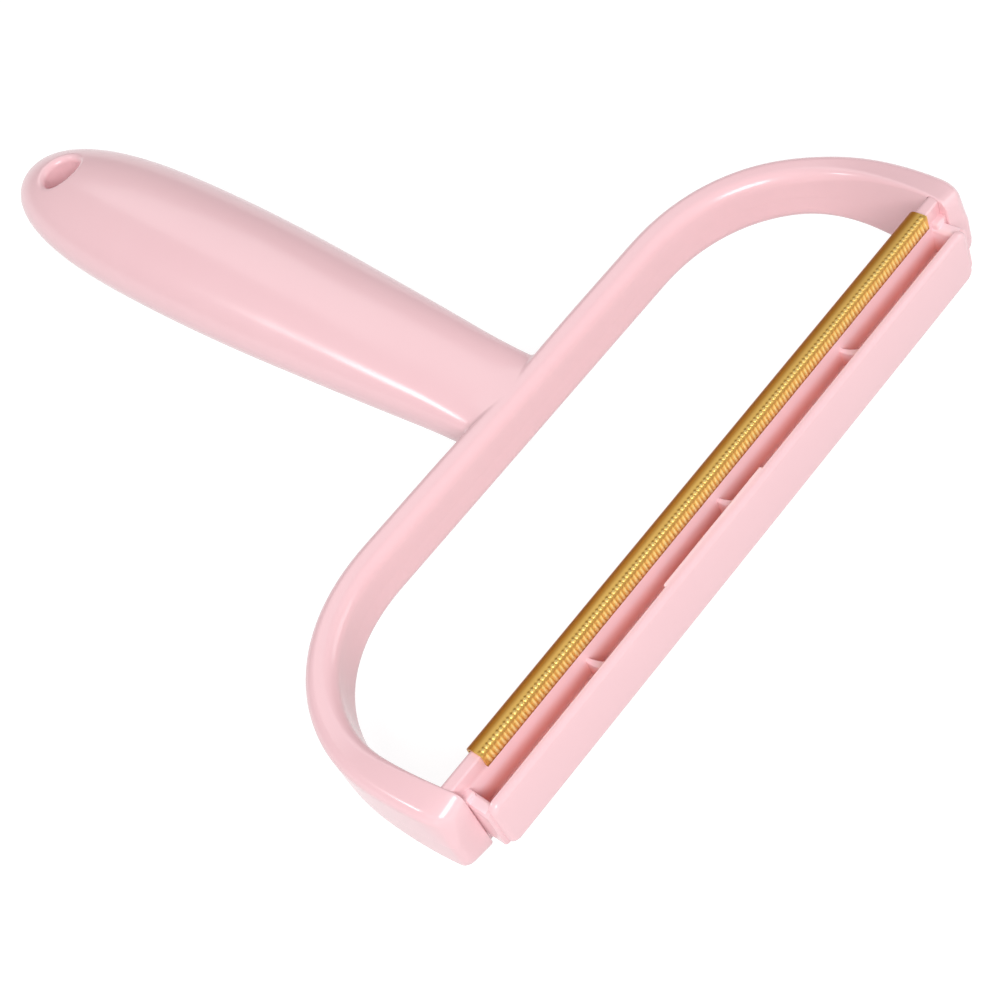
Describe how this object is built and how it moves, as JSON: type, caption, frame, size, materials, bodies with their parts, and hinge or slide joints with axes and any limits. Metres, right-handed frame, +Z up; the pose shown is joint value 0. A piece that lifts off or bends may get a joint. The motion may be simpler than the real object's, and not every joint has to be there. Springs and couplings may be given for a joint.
{
  "type": "manual lint shaver",
  "caption": "Hand-held lint shaver: an oval handle opens into a D-shaped bow that carries a channel bar edged with toothed brass strips for scraping lint off cloth.",
  "frame": {"origin": "on the floor below the middle of the bounding box, with the tool lying flat", "axes": "+X across the head, +Y from the head to the handle's tip, +Z up through the tool's upper face"},
  "size_m": [0.13, 0.18, 0.018],
  "materials": {
    "pink_abs": "glossy moulded ABS",
    "brass": "folded sheet with pressed teeth"
  },
  "bodies": {
    "root": {"upper_shell": "pink_abs", "lower_shell": "pink_abs", "head_bar": "pink_abs", "upper_scraper_strip": "brass", "lower_scraper_strip": "brass"}
  },
  "joints": []
}
